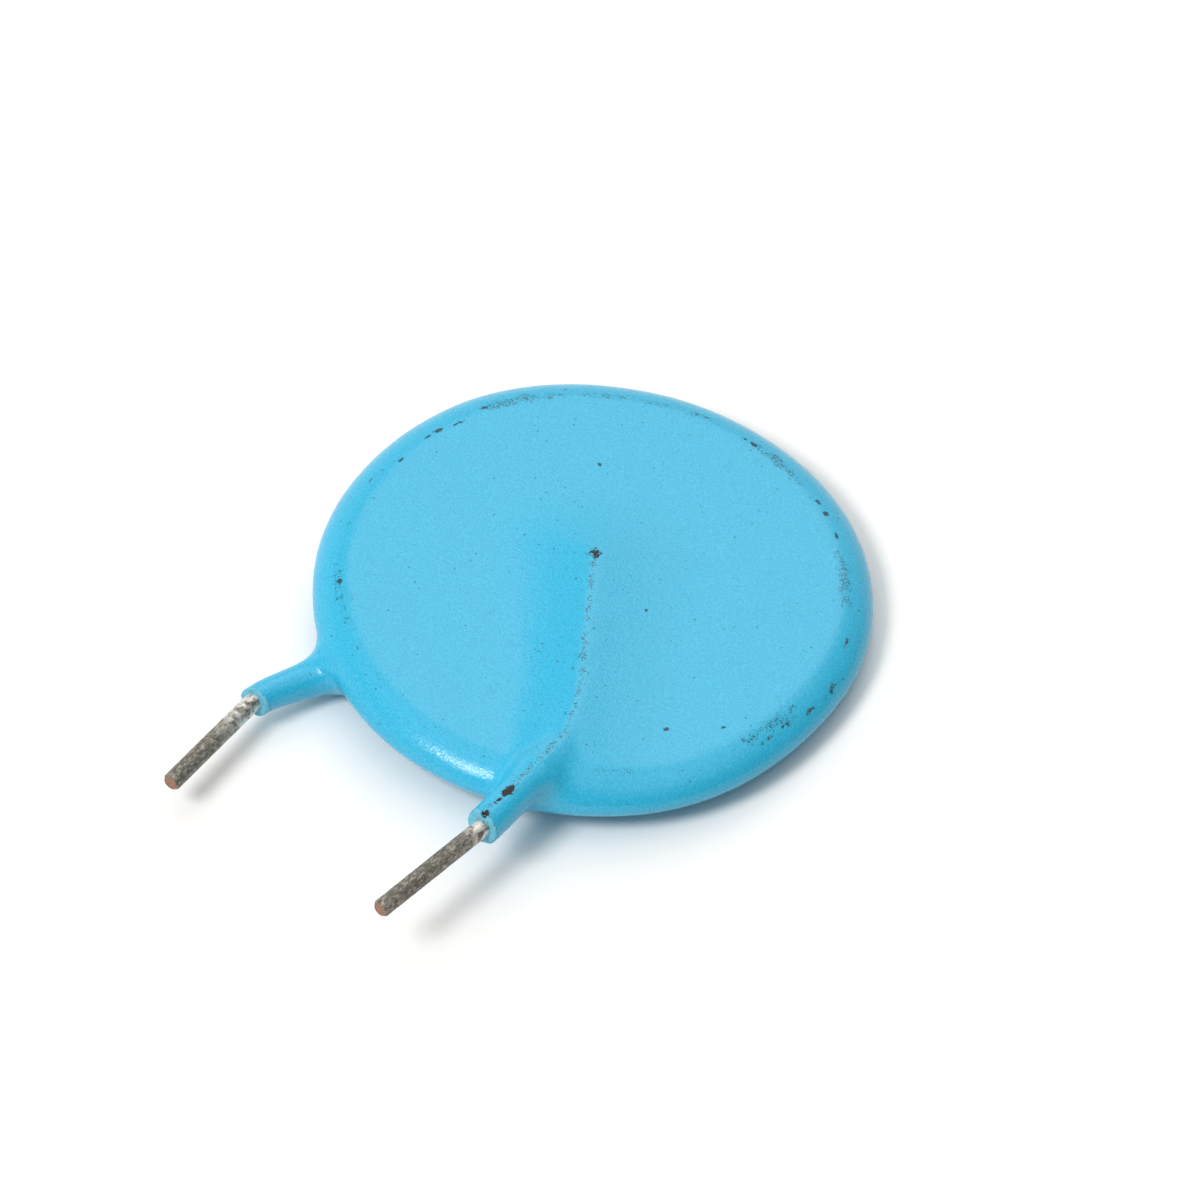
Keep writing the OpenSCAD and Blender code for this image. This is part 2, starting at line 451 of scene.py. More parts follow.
@dataclass(frozen=True)
class Grime:
    """Dark dirt that gathers in broken patches, by a coarse and a fine noise."""

    patch_detail: float = 3.0
    grain_detail: float = 2.0
    patch_share: float = 0.55
    grain_share: float = 0.45
    clean_above: float = 0.80
    amount_reach: float = 0.46
    hardness: float = 14.0

    def group(self) -> bpy.types.NodeTree:
        """Returns a node group with a mask of dirt from an amount, a place and two scales."""
        inputs = {"Vector": VECTOR, "Amount": SCALAR, "Patch Scale": SCALAR, "Grain Scale": SCALAR}
        graph, given, result = new_group("gathered_grime", "ShaderNodeTree", inputs, {"Mask": SCALAR})
        where = given["Vector"]
        patch, grain = (
            graph.out("ShaderNodeTexNoise", "Fac", {"Vector": where, "Scale": given[scale], "Detail": detail})
            for scale, detail in (("Patch Scale", self.patch_detail), ("Grain Scale", self.grain_detail))
        )
        blend = graph.plus(graph.times(patch, self.patch_share), graph.times(grain, self.grain_share))
        edge = graph.minus(self.clean_above, graph.times(given["Amount"], self.amount_reach))
        graph.fill(result, {"Mask": graph.times(graph.minus(blend, edge), self.hardness, clamp=True)})
        return graph.tree


@dataclass(frozen=True)
class EpoxyFinish:
    """Glossy blue dipped epoxy, with fine orange peel, pits and handling scuffs.

    The sizes of dirt are a patch and its grain in millimetres.
    """

    deep_colour: Colour = (0.024, 0.412, 0.656, 1.0)
    light_colour: Colour = (0.048, 0.520, 0.792, 1.0)
    broken_light: Colour = (0.22, 0.66, 0.82, 1.0)
    broken_deep: Colour = (0.09, 0.52, 0.76, 1.0)
    dirt_colour: Colour = (0.012, 0.012, 0.014, 1.0)
    grey_colour: Colour = (0.012, 0.10, 0.15, 1.0)
    roughness: float = 0.21
    broken_roughness: float = 0.55
    dirt_roughness: float = 0.35
    ior: float = 1.5
    tint: Grain = Grain(0.12, 2.0, 0.6, (0.30, 0.70))
    pit_pitch: float = 0.62
    pit_fade: Pair = (0.15, 0.07)
    pit_areas: Grain = Grain(1.7, fade=(0.47, 0.60))
    pit_strength: float = 0.75
    smear_sizes: Pair = (0.7, 0.14)
    smear_dots: Grain = Grain(0.10, 1.0, fade=(0.46, 0.58))
    smear_strength: float = 0.92
    scuff_sizes: Pair = (0.45, 0.12)
    scuff_strength: float = 0.85
    spot_sizes: Pair = (0.5, 0.15)
    broken_tint: Grain = Grain(0.25)
    broken_fade: Pair = (0.2, 0.7)
    peel: Grain = Grain(0.20, 3.0, 0.55)
    peel_depth: float = 0.028
    chips: Grain = Grain(0.18, 3.0, 0.7)
    chip_height: float = 6.0
    dirt_height: float = -0.6

    def material(self, grime: bpy.types.NodeTree) -> Material:
        """Builds the coat's material.

        Args:
            grime: The effect that gathers dirt.

        Returns:
            The material.
        """
        material, graph, shader, where = new_material("blue_epoxy")
        wear, smear, spot, broken = (graph.attribute(name) for name in ("wear", "smear", "spot", "broken"))

        def dirt(amount: Socket, sizes: Pair) -> Socket:
            """Places the grime effect and returns its mask."""
            patch, grain = (scale_of(size) for size in sizes)
            feeds = {"Vector": where, "Amount": amount, "Patch Scale": patch, "Grain Scale": grain}
            return graph.out("ShaderNodeGroup", "Mask", feeds, node_tree=grime)

        colour = graph.mix(graph.patches(where, self.tint), self.deep_colour, self.light_colour)
        cells = {"Vector": where, "Scale": scale_of(self.pit_pitch)}
        cell = graph.out("ShaderNodeTexVoronoi", "Distance", cells)
        pit = graph.times(graph.ramp(cell, self.pit_fade), graph.patches(where, self.pit_areas))
        colour = graph.mix(graph.times(pit, self.pit_strength), colour, self.grey_colour)
        dots = graph.patches(where, self.smear_dots, self.smear_strength)
        colour = graph.mix(graph.times(dirt(smear, self.smear_sizes), dots), colour, self.grey_colour)
        fracture = graph.mix(graph.noise(where, self.broken_tint), self.broken_light, self.broken_deep)
        colour = graph.mix(graph.ramp(broken, self.broken_fade), colour, fracture)
        scuff = graph.times(dirt(wear, self.scuff_sizes), self.scuff_strength)
        dark = graph.math("MAXIMUM", scuff, dirt(spot, self.spot_sizes))
        colour = graph.mix(dark, colour, self.dirt_colour)
        bare_rough = graph.ramp(broken, self.broken_fade, (self.roughness, self.broken_roughness))
        height = graph.plus(graph.noise(where, self.peel), graph.times(dark, self.dirt_height))
        chips = graph.times(graph.noise(where, self.chips), graph.times(broken, self.chip_height))
        graph.fill(shader, {
            "Base Color": colour, "IOR": self.ior,
            "Roughness": graph.plus(graph.times(dark, self.dirt_roughness), bare_rough),
            "Normal": graph.bump(graph.plus(height, chips), 1.0, self.peel_depth),
        })
        return material


@dataclass(frozen=True)
class WireFinish:
    """Old tinned copper: dark and mottled, bright where the coat came off."""

    dark: Colour = (0.126, 0.118, 0.100, 1.0)
    pale: Colour = (0.48, 0.46, 0.39, 1.0)
    bright: Colour = (0.72, 0.70, 0.66, 1.0)
    residue: Colour = (0.05, 0.35, 0.52, 1.0)
    stretch: Triple = (1.0, 0.45, 1.0)
    mottle: Grain = Grain(0.17, 4.0, 0.65, (0.42, 0.72))
    metal_fade: Pair = (0.40, 0.70)
    metal_ends: Pair = (0.30, 0.70)
    fresh_areas: Grain = Grain(0.55, 3.0, fade=(0.40, 0.55))
    fresh_share: float = 0.15
    rough_ends: Pair = (0.52, 0.26)
    cling_areas: Grain = Grain(0.28, 4.0, 0.7, (0.62, 0.68))
    cling_fade: Pair = (4.4, 1.6)
    cling_height: float = 0.8
    bump_strength: float = 0.8
    bump_depth: float = 0.04

    def material(self, name: str, residue_amount: float, fresh_mm: float) -> Material:
        """Builds a lead's material.

        Args:
            name: Name of the material.
            residue_amount: How much blue coat still clings near the mouth.
            fresh_mm: How far from the mouth the tin is still bright in places.

        Returns:
            The material.
        """
        material, graph, shader, where = new_material(name)
        from_mouth = graph.attribute("from_mouth")
        along = graph.out("ShaderNodeMapping", "Vector", {"Vector": where, "Scale": self.stretch})
        mottle = graph.noise(along, self.mottle)
        colour = graph.mix(graph.ramp(mottle, self.mottle.fade), self.dark, self.pale)
        fresh_end = graph.ramp(from_mouth, (fresh_mm, self.fresh_share * fresh_mm))
        fresh = graph.times(fresh_end, graph.patches(where, self.fresh_areas))
        colour = graph.mix(fresh, colour, self.bright)
        cling = graph.times(graph.ramp(from_mouth, self.cling_fade), graph.patches(where, self.cling_areas))
        cling = graph.times(cling, residue_amount)
        height = graph.plus(mottle, graph.times(cling, self.cling_height))
        metal = graph.ramp(mottle, self.metal_fade, self.metal_ends)
        graph.fill(shader, {
            "Base Color": graph.mix(cling, colour, self.residue),
            "Metallic": graph.times(graph.minus(1.0, cling), metal),
            "Roughness": graph.ramp(fresh, (0.0, 1.0), self.rough_ends),
            "Normal": graph.bump(height, self.bump_strength, self.bump_depth),
        })
        return material


@dataclass(frozen=True)
class PlainFinish:
    """A plain procedural finish for a piece or a cut face."""

    name: str
    colour: Colour
    second: Colour
    metallic: float
    roughness: float
    grain_size: float
    fade: Pair = (0.35, 0.65)
    bump_strength: float = 0.4
    bump_depth: float = 0.02

    def material(self) -> Material:
        """Returns the material, with two colours in a fine grain."""
        material, graph, shader, where = new_material(self.name)
        grain = graph.noise(where, Grain(self.grain_size, 3.0, 0.6))
        graph.fill(shader, {
            "Base Color": graph.mix(graph.ramp(grain, self.fade), self.colour, self.second),
            "Metallic": self.metallic, "Roughness": self.roughness,
            "Normal": graph.bump(grain, self.bump_strength, self.bump_depth),
        })
        return material


# Two colours, metallic, roughness and size of the grain in millimetres
CUT_COPPER = PlainFinish("cut_copper", (0.24, 0.11, 0.075, 1.0), (0.40, 0.21, 0.15, 1.0), 0.35, 0.55, 0.12)
ZINC_OXIDE = PlainFinish("zinc_oxide", (0.045, 0.047, 0.043, 1.0), (0.085, 0.087, 0.08, 1.0), 0.0, 0.75, 0.12)
SILVER = PlainFinish("fired_silver", (0.66, 0.65, 0.61, 1.0), (0.78, 0.77, 0.73, 1.0), 0.9, 0.55, 0.10)
SOLDER = PlainFinish("soft_solder", (0.46, 0.46, 0.45, 1.0), (0.60, 0.60, 0.59, 1.0), 0.9, 0.38, 0.30)


@dataclass(frozen=True)
class Mark:
    """A worn or dirty patch on the front face, by its place on the disc."""

    bearing: float
    radius: float
    half_length: float
    half_width: float
    strength: float

    def cover(self, p: Array) -> Array:
        """Works out how strongly the patch covers points, as a soft oval along the rim.

        Args:
            p: Points round the middle.

        Returns:
            A value between 0 and the patch's strength for each point.
        """
        a = math.radians(self.bearing)
        across = np.array([math.cos(a), math.sin(a)])
        along = np.array([-math.sin(a), math.cos(a)])
        q = p[:, :2] - self.radius * across
        d = (q @ along / self.half_length) ** 2 + (q @ across / self.half_width) ** 2
        return self.strength * np.exp(-d) * (p[:, 2] > 0)


# Bearing, radius, half length, half width and strength of each patch
MARKS = tuple(Mark(*row) for row in (
    (167, 15.7, 0.45, 0.22, 1.25), (162, 15.5, 0.8, 0.16, 1.15), (170, 15.7, 0.6, 0.14, 1.0),
    (154, 16.0, 0.35, 0.16, 1.15), (180, 15.5, 0.4, 0.16, 1.1), (-172, 16.1, 0.7, 0.14, 0.9),
    (145, 16.3, 0.9, 0.25, 0.6), (135, 16.4, 0.3, 0.14, 0.9), (115, 15.8, 1.5, 0.45, 0.6),
    (103, 16.0, 1.8, 0.35, 0.68), (89, 15.9, 0.4, 0.22, 1.25), (91.5, 15.9, 0.25, 0.14, 1.1),
    (83, 16.2, 0.6, 0.2, 0.8), (67, 16.1, 0.35, 0.18, 1.25), (63, 16.1, 0.35, 0.2, 1.25),
    (56, 16.1, 0.35, 0.18, 1.1), (36, 16.2, 1.2, 0.3, 0.65), (25, 16.5, 1.4, 0.3, 0.7),
    (12, 16.9, 1.3, 0.3, 0.8), (4, 16.7, 1.1, 0.25, 0.85), (-2, 16.4, 1.0, 0.3, 0.85),
    (-9, 16.5, 1.4, 0.25, 0.7), (-35, 17.4, 0.7, 0.4, 0.62), (-139, 15.8, 0.35, 0.22, 1.25),
    (-158, 15.6, 1.0, 0.3, 0.65), (-133, 15.2, 1.0, 0.35, 0.6), (-120, 15.6, 1.2, 0.35, 0.6),
    (126, 9.9, 0.16, 0.16, 1.5), (3, 4.2, 0.16, 0.14, 1.4), (-30, 13.0, 0.28, 0.16, 1.2),
    (-37, 13.5, 0.26, 0.12, 1.1), (-16, 14.4, 0.26, 0.18, 1.2), (15, 7.1, 0.14, 0.12, 1.1),
    (-68, 7.5, 0.14, 0.12, 1.1),
))


@dataclass
class EpoxyCoat:
    """The dipped coat: rounded disc, two mounds and two broken sleeves, in millimetres and degrees."""

    # Disc and its rim
    half_t: float = 1.65
    radius: float = 17.5
    rim_round: float = 2.35
    rim_power: float = 1.82
    outline: tuple[float, ...] = (
        -0.008, 0.0105, 0.018, 0.0108, 0.0148, 0.0255, 0.0035, -0.0035, 0.003, 0.0155, 0.0175, 0.015,
    )
    face_lean: float = 0.04
    lean_radii: Pair = (12.4, 16.8)
    lead_side: Lobe = Lobe(0.10, -104.0, 0.65)
    lead_side_radii: Pair = (11.5, 16.0)
    unevenness: Ripple = Ripple(0.006, 2.6, 5)

    # Mounds, with three values for the inner end, the bend and the root
    runs: tuple[LeadRun, ...] = (FRONT_RUN, REAR_RUN)
    left_reach: Triple = (4.3, 3.6, 2.0)
    right_reach: Triple = (6.4, 5.9, 5.4)
    crest_share: Triple = (1.0, 1.0, 0.80)
    crest_r: float = 0.85
    crest_round: float = 0.40
    rear_settle: float = 0.092
    sag: float = 1.6
    hem_round: float = 0.02
    side_round: float = 0.4
    side_turn: float = 0.6
    hook: Lobe = Lobe(2.2, 170.0, 0.7)
    hook_run: float = 0.6
    bend_ease: float = 3.8
    neck_ease: float = 1.5
    ridge_tail: float = 2.0

    # Sleeves, their roots and their broken mouths
    tube_from: float = 0.9
    tube_start: float = 0.50
    tube_growth: float = 0.7
    tube_thinnest: float = 1.1
    taper: float = 1.8
    face_fillet: float = 0.45
    root_fillet: float = 1.5
    fillet_radii: Pair = (11.5, 17.0)
    drip_r: float = 1.3
    drip_drop: float = 0.46
    drip_fillet: float = 0.5
    mouth_edge: float = 0.10
    mouth_chips: tuple[Ripple, ...] = (Ripple(0.07, 0.8, 11), Ripple(0.035, 0.30, 23))
    mouth_near: float = 3.0
    mouth_fade: Pair = (-0.14, -0.04)

    # Wear: strength and spread of the rubbing on the crests, and smears in a ring round the shoulder
    marks: tuple[Mark, ...] = MARKS
    rub: Pair = (0.80, 0.34)
    haze: Pair = (0.50, 1.5)
    ring_strength: float = 0.95
    ring_r: float = 15.9
    ring_width: float = 0.6
    ring_level: float = 0.75
    ring_patches: Ripple = Ripple(0.35, 4.0, 17)
    clean: Lobe = Lobe(0.85, -85.0, 0.85)

    # Worn-through holes: height and radius on the peak, and distance back from the mouth, height, half
    # length and half width on the sleeve
    peak_hole: Pair = (0.80, 0.62)
    sleeve_holes: tuple[tuple[float, ...], ...] = (
        (2.6, 1.18, 1.0, 0.45), (1.5, 1.18, 0.70, 0.24), (0.2, 1.15, 0.70, 0.50),
    )

    # Cells that the surface is drawn from
    grid: float = 0.17
    low_corner: Triple = (-18.6, -22.0, -4.2)
    high_corner: Triple = (18.6, 18.6, 3.6)
    far_outside: float = 3.0
    settle_steps: int = 3
    slope_reach: float = 0.02
    least_slope: float = 0.25

    def swell(self, bearing: Array) -> Array:
        """Works out how far the outline stands out at a bearing.

        Args:
            bearing: Bearings in radians.

        Returns:
            The share of the radius, on a smooth curve through even bearings.
        """
        shares = np.array(self.outline)
        place = bearing / (2.0 * math.pi) * len(shares)
        k = np.floor(place).astype(int)
        t = place - k
        a, b, c, d = (shares[(k + step) % len(shares)] for step in (-1, 0, 1, 2))
        return b + 0.5 * t * (c - a + t * (2 * a - 5 * b + 4 * c - d + t * (3 * (b - c) + d - a)))

    def ridge(self, run: LeadRun) -> tuple[Array, Array]:
        """Returns the ridge of the coat over a lead, with the stage of each point."""
        return run.ridge(self.ridge_tail, self.bend_ease, self.neck_ease)

    def mound(self, p: Array, run: LeadRun) -> Array:
        """Works out the height that a mound adds to one face of the disc.

        Args:
            p: Points round the middle.
            run: The lead under the mound.

        Returns:
            The added height.
        """
        line, at = self.ridge(run)
        keep = at <= ROOT
        line, at = line[keep, :2], at[keep]
        away = np.full(len(p), np.inf)
        along, across, lateral = np.zeros(len(p)), np.zeros(len(p)), np.zeros(len(p))
        for start, end, low, high in zip(line, line[1:], at, at[1:]):
            length = np.linalg.norm(end - start)
            way = (end - start) / length
            q = p[:, :2] - start
            s = np.clip(q @ way, 0.0, length)
            side = q - s[:, None] * way
            d = np.linalg.norm(side, axis=1)
            near = d < away
            away[near] = d[near]
            along[near] = (low + (high - low) * s / length)[near]
            across[near] = (side @ np.array([-way[1], way[0]]))[near]
            lateral[near] = np.arctan2(side[:, 1], side[:, 0])[near]
        stages = (INNER_END, BEND, ROOT)
        left = np.interp(along, stages, self.left_reach)
        right = np.interp(along, stages, self.right_reach)
        to_right = smooth_step(across / (away + self.side_round), -self.side_turn, self.side_turn)
        width = left + (right - left) * to_right
        width = width + self.hook.at(lateral) * (1.0 - smooth_step(along, INNER_END, self.hook_run))
        crest = self.crest_r - (self.rear_settle if run.face is Face.REAR else 0.0)
        top = (run.lead_z + crest - self.half_t) * np.interp(along, stages, self.crest_share)
        slope = np.sqrt(away * away + self.crest_round ** 2) - self.crest_round
        share = 1.0 - slope / width
        return top * (0.5 * (share + np.sqrt(share * share + self.hem_round))) ** self.sag

    def disc(self, p: Array) -> Array:
        """Signed field of the disc with its mounds.

        Args:
            p: Points round the middle.

        Returns:
            About the distance to the surface.
        """
        bearing = np.arctan2(p[:, 1], p[:, 0])
        r = np.hypot(p[:, 0], p[:, 1]) / (1.0 + self.swell(bearing))
        half = self.half_t - self.face_lean * smooth_step(r, *self.lean_radii)
        half = half + self.lead_side.at(bearing) * smooth_step(r, *self.lead_side_radii)
        upper, lower = (self.mound(p, run) for run in self.runs)
        half = half + np.where(p[:, 2] > 0, upper, lower)
        out = np.maximum(r - (self.radius - self.rim_round), 0.0) / self.rim_round
        power = self.rim_power
        return ((out ** power + np.abs(p[:, 2] / half) ** power) ** (1.0 / power) - 1.0) * half

    def sleeve(self, p: Array, run: LeadRun) -> Array:
        """Signed field of the coat round a lead, without its broken end.

        Args:
            p: Points round the middle.
            run: The lead.

        Returns:
            The distance to the surface.
        """
        line, at = self.ridge(run)
        total = np.full(len(p), np.inf)
        for start, end, low, high in zip(line, line[1:], at, at[1:]):
            if low < self.tube_from:
                continue
            s, distance = nearest_on(p, start, end)
            stage = low + (high - low) * s
            flare = np.clip(NECK - stage, 0.0, 1.0) ** self.taper
            wide = np.where(stage < ROOT, run.root_r, run.mouth_r + (run.root_r - run.mouth_r) * flare)
            before_root = np.clip((ROOT - stage) / self.tube_growth, 0.0, self.tube_thinnest)
            total = np.minimum(total, distance - (wide + (self.tube_start - run.root_r) * before_root))
        if run.face is Face.REAR:
            drip = np.linalg.norm(p - (run.root() - self.drip_drop * UP), axis=1) - self.drip_r
            total = smooth_union(total, drip, self.drip_fillet)
        return total

    def beyond_mouth(self, p: Array, run: LeadRun) -> Array:
        """Signed field of a broken mouth's ragged face, above 0 beyond it.

        Args:
            p: Points round the middle.
            run: The lead.

        Returns:
            The distance past the face.
        """
        lean = math.radians(run.mouth_slant)
        normal = unit(math.cos(lean) * run.out() + math.sin(lean) * UP)
        return (p - run.mouth()) @ normal + sum(chips.at(p, run.face.value) for chips in self.mouth_chips)

    def field(self, p: Array) -> Array:
        """Signed field of the whole coat, below 0 inside.

        Args:
            p: Points round the middle.

        Returns:
            About the distance to the surface.
        """
        total = self.disc(p)
        outward = smooth_step(np.hypot(p[:, 0], p[:, 1]), *self.fillet_radii)
        fillet = self.face_fillet + (self.root_fillet - self.face_fillet) * outward
        for run in self.runs:
            tube = -smooth_union(-self.sleeve(p, run), -self.beyond_mouth(p, run), self.mouth_edge)
            total = smooth_union(total, tube, fillet)
        return total + self.unevenness.at(p)

    def settle(self, p: Array) -> Array:
        """Moves points onto the field's surface, a few steps down its slope.

        Args:
            p: Points near the surface.

        Returns:
            The moved points.
        """
        reach = self.slope_reach
        for _ in range(self.settle_steps):
            slope = np.empty_like(p)
            for axis in range(3):
                shift = np.zeros(3)
                shift[axis] = reach
                slope[:, axis] = (self.field(p + shift) - self.field(p - shift)) / (2 * reach)
            size = np.maximum((slope * slope).sum(1), self.least_slope)
            move = (self.field(p) / size)[:, None] * slope
            p = p - np.clip(move, -self.grid, self.grid)
        return p

    def build(self, finish: Material) -> Object:
        """Makes the coat's closed mesh with its wear attributes.

        Args:
            finish: The coat's material.

        Returns:
            The coat.
        """
        low, high = np.array(self.low_corner), np.array(self.high_corner)
        count = np.ceil((high - low) / self.grid).astype(int)
        axes = [low[i] + self.grid * np.arange(count[i]) for i in range(3)]
        cells = np.stack(np.meshgrid(*axes, indexing="ij"), axis=-1).reshape(-1, 3)
        volume = openvdb.FloatGrid(background=self.far_outside)
        volume.copyFromArray(self.field(cells).reshape(count).astype(np.float32))
        points, _, quads = volume.convertToPolygons(isovalue=0.0, adaptivity=0.0)
        local = self.settle(points.astype(float) * self.grid + low)
        coat = mesh_object("dipped_epoxy_coat", AT_REST.place(local), quads)
        store(coat, "wear", np.maximum.reduce([mark.cover(local) for mark in self.marks]))
        store(coat, "smear", self.smears(local))
        store(coat, "spot", self.spots(local))
        store(coat, "broken", self.breaks(local))
        coat.data.materials.append(finish)
        return coat

    def smears(self, p: Array) -> Array:
        """Grey rubbing along the crests and round the shoulder.

        Args:
            p: Points round the middle.

        Returns:
            A value from 0 to 1 for each point.
        """
        r, bearing = np.hypot(p[:, 0], p[:, 1]), np.arctan2(p[:, 1], p[:, 0])
        ring = self.ring_strength * bell(r - self.ring_r, self.ring_width)
        ring = ring * (self.ring_level + self.ring_patches.at(p)) * (1.0 - self.clean.at(bearing))
        total = np.maximum(ring, 0.0)
        for run in self.runs:
            line, at = self.ridge(run)
            line = line[at <= NECK, :2]
            gap = np.full(len(p), np.inf)
            for start, end in zip(line, line[1:]):
                gap = np.minimum(gap, nearest_on(p[:, :2], start, end)[1])
            rub = np.maximum(*(strength * bell(gap, spread) for strength, spread in (self.rub, self.haze)))
            total = np.maximum(total, rub * (p[:, 2] * run.face.value > self.half_t))
        return total

    def spots(self, p: Array) -> Array:
        """Dark holes worn through on the front lead's crest and sleeve.

        Args:
            p: Points round the middle.

        Returns:
            A value from 0 to 1 for each point.
        """
        inner_end, bend, neck, _ = FRONT_RUN.corners()
        way = unit(neck - bend)
        height, radius = self.peak_hole
        places = [(inner_end + height * UP, radius, radius)]
        for back, height, long, wide in self.sleeve_holes:
            places.append((FRONT_RUN.mouth() - back * way + height * UP, long, wide))
        total = np.zeros(len(p))
        for place, long, wide in places:
            q = p - place
            s = q @ way
            side = np.linalg.norm(q - s[:, None] * way, axis=1)
            total = np.maximum(total, np.exp(-((s / long) ** 2) - (side / wide) ** 2))
        return total

    def breaks(self, p: Array) -> Array:
        """Where the mesh is a broken mouth's face.

        Args:
            p: Points round the middle.

        Returns:
            A value from 0 to 1 for each point.
        """
        total = np.zeros(len(p))
        for run in self.runs:
            near = np.linalg.norm(p - run.mouth(), axis=1) < self.mouth_near
            total = np.maximum(total, near * smooth_step(self.beyond_mouth(p, run), *self.mouth_fade))
        return total


def lead_tree(name: str, wire: Material, cut: Material) -> bpy.types.GeometryNodeTree:
    """Builds the nodes that draw a wire along a route of corners.

    Args:
        name: Name of the tree.
        wire: Material of the wire's side.
        cut: Material of its cut ends.

    Returns:
        The tree, with named inputs for the wire's sizes and its seed.
    """
    graph, given, result = new_group(name, "GeometryNodeTree", {
        "Geometry": SHAPE, "Wire Radius": SCALAR, "Bend Radius": SCALAR, "Step": SCALAR,
        "Bare Length": SCALAR, "Waviness": SCALAR, "Dent Scale": SCALAR, "Pinch": SCALAR,
        "Pinch Length": SCALAR, "Bend Points": WHOLE, "Sides": WHOLE, "Seed": WHOLE,
    }, {"Geometry": SHAPE})

    line = graph.out("GeometryNodeMeshToCurve", "Curve", {"Mesh": given["Geometry"]})
    bends = {"Curve": line, "Count": given["Bend Points"], "Radius": given["Bend Radius"]}
    line = graph.out("GeometryNodeFilletCurve", "Curve", bends, mode="POLY")
    steps = {"Curve": line, "Length": given["Step"]}
    line = graph.out("GeometryNodeResampleCurve", "Curve", steps, mode="LENGTH")

    length = graph.out("GeometryNodeSplineLength", "Length")
    place = graph.out("GeometryNodeSplineParameter", "Length")
    from_mouth = graph.math("DIVIDE", graph.minus(place, graph.minus(length, given["Bare Length"])), MM)
    kept = {"Geometry": line, "Name": "from_mouth", "Value": from_mouth}
    line = graph.out("GeometryNodeStoreNamedAttribute", "Geometry", kept, data_type="FLOAT", domain="POINT")
    ends = (graph.minus(length, place), 0.0, given["Pinch Length"], given["Pinch"], 1.0)
    pinch = graph.out("ShaderNodeMapRange", "Result", dict(enumerate(ends)))
    line = graph.out("GeometryNodeSetCurveRadius", "Curve", {"Curve": line, "Radius": pinch})

    circle = {"Radius": given["Wire Radius"], "Resolution": given["Sides"]}
    ring = graph.out("GeometryNodeCurvePrimitiveCircle", "Curve", circle, mode="RADIUS")
    width = graph.out("GeometryNodeInputRadius", "Radius")
    sweep = {"Curve": line, "Profile Curve": ring, "Scale": width, "Fill Caps": True}
    shape = graph.out("GeometryNodeCurveToMesh", "Mesh", sweep)

    spot = graph.out("GeometryNodeInputPosition", "Position")
    shift = graph.out("ShaderNodeCombineXYZ", "Vector", {"X": given["Seed"]})
    seeded = graph.out("ShaderNodeVectorMath", "Vector", {0: spot, 1: shift}, operation="ADD")
    dents = graph.out("ShaderNodeTexNoise", "Fac", {"Vector": seeded, "Scale": given["Dent Scale"]})
    depth = graph.times(graph.minus(dents, 0.5), given["Waviness"])
    outward = graph.out("GeometryNodeInputNormal", "Normal")
    push = graph.out("ShaderNodeVectorMath", "Vector", {0: outward, "Scale": depth}, operation="SCALE")
    shape = graph.out("GeometryNodeSetPosition", "Geometry", {"Geometry": shape, "Offset": push})

    for step in ("GeometryNodeSetShadeSmooth", "GeometryNodeRealizeInstances"):
        shape = graph.out(step, "Geometry", {"Geometry": shape})
    shape = graph.out("GeometryNodeSetMaterial", "Geometry", {"Geometry": shape, "Material": wire})
    # Only the two end faces have more than four corners
    corners = {2: graph.out("GeometryNodeInputMeshFaceNeighbors", "Vertex Count"), 3: 4}
    is_end = graph.out("FunctionNodeCompare", "Result", corners, data_type="INT", operation="GREATER_THAN")
    ended = {"Geometry": shape, "Selection": is_end, "Material": cut}
    graph.fill(result, {"Geometry": graph.out("GeometryNodeSetMaterial", "Geometry", ended)})
    return graph.tree


@dataclass
class Lead:
    """One lead wire, drawn along its route by Geometry Nodes."""

    name: str
    run: LeadRun
    seed: int
    residue: float
    fresh: float
    bend_radius: float = 3.0
    bend_points: int = 10
    step: float = 0.18
    sides: int = 40
    waviness: float = 0.045
    dent_size: float = 0.8
    pinch: float = 0.80
    pinch_length: float = 0.18
    sharp_from: float = 50.0

    def build(self, finish: WireFinish, cut: Material) -> Object:
        """Makes the lead's mesh.

        Args:
            finish: The wire's finish.
            cut: Material of the cut ends.

        Returns:
            The lead as a plain mesh.
        """
        corners = AT_REST.place(self.run.corners())
        mesh = bpy.data.meshes.new(self.name + "_route")
        mesh.from_pydata(corners.tolist(), [(0, 1), (1, 2), (2, 3)], [])
        route = new_object(self.name + "_route", mesh)
        wire = finish.material(self.name + "_metal", self.residue, self.fresh)
        tree = lead_tree(self.name + "_wire", wire, cut)
        modifier = route.modifiers.new("wire", "NODES")
        modifier.node_group = tree
        sizes = {
            "Wire Radius": self.run.wire_r * MM, "Bend Radius": self.bend_radius * MM, "Step": self.step * MM,
            "Bare Length": self.run.bare * MM, "Waviness": self.waviness * MM,
            "Dent Scale": scale_of(self.dent_size), "Pinch": self.pinch,
            "Pinch Length": self.pinch_length * MM, "Bend Points": self.bend_points, "Sides": self.sides,
            "Seed": self.seed,
        }
        for item in tree.interface.items_tree:
            if item.in_out == "INPUT" and item.name in sizes:
                modifier[item.identifier] = sizes[item.name]
        seen = bpy.context.evaluated_depsgraph_get()
        seen.update()
        made = bpy.data.meshes.new_from_object(route.evaluated_get(seen))
        made.name = self.name
        made.set_sharp_from_angle(angle=math.radians(self.sharp_from))
        bpy.data.objects.remove(route)
        return new_object(self.name, made)


